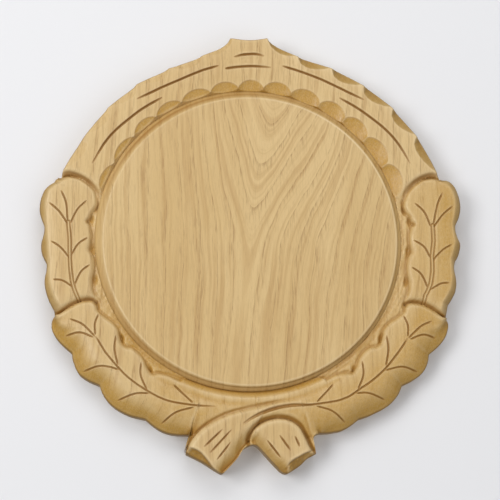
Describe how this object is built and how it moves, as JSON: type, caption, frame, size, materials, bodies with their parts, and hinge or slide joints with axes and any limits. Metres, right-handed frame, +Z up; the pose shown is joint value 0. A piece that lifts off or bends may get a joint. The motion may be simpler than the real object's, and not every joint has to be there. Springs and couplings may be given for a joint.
{
  "type": "carved wall plaque",
  "caption": "Round oak wall plaque: a raised turned disc inside a wreath of carved oak leaves with crossed stems, hung by a ring let into its back.",
  "frame": {"origin": "centre of the raised disc, on the flat back face", "axes": "+X to the plaque's right as seen from the front, +Z up as it hangs, +Y into the wall; the carved face looks along -Y"},
  "size_m": [0.2444, 0.02, 0.2548],
  "materials": {
    "oak_carving": "carved oak under satin varnish, upright grain",
    "oak_disc": "turned and sanded oak under satin varnish, upright grain",
    "zinc_screws": "zinc plated",
    "hanger_brass": "brass plated, polished"
  },
  "bodies": {
    "board": {"carved_wreath": "oak_carving", "centre_disc": "oak_disc", "disc_screw_1": "zinc_screws", "disc_screw_2": "zinc_screws", "disc_screw_3": "zinc_screws", "disc_screw_4": "zinc_screws", "hanger_strap": "hanger_brass", "hanger_screw_upper": "hanger_brass", "hanger_screw_lower": "hanger_brass"},
    "ring": {"hanger_ring": "hanger_brass"}
  },
  "joints": [
    {"name": "hanger_swing", "type": "hinge", "parent": "board", "child": "ring", "pos_m": [0, -0.00235, 0.092], "axis": [-1, 0, 0], "range_deg": [0, 175]}
  ]
}
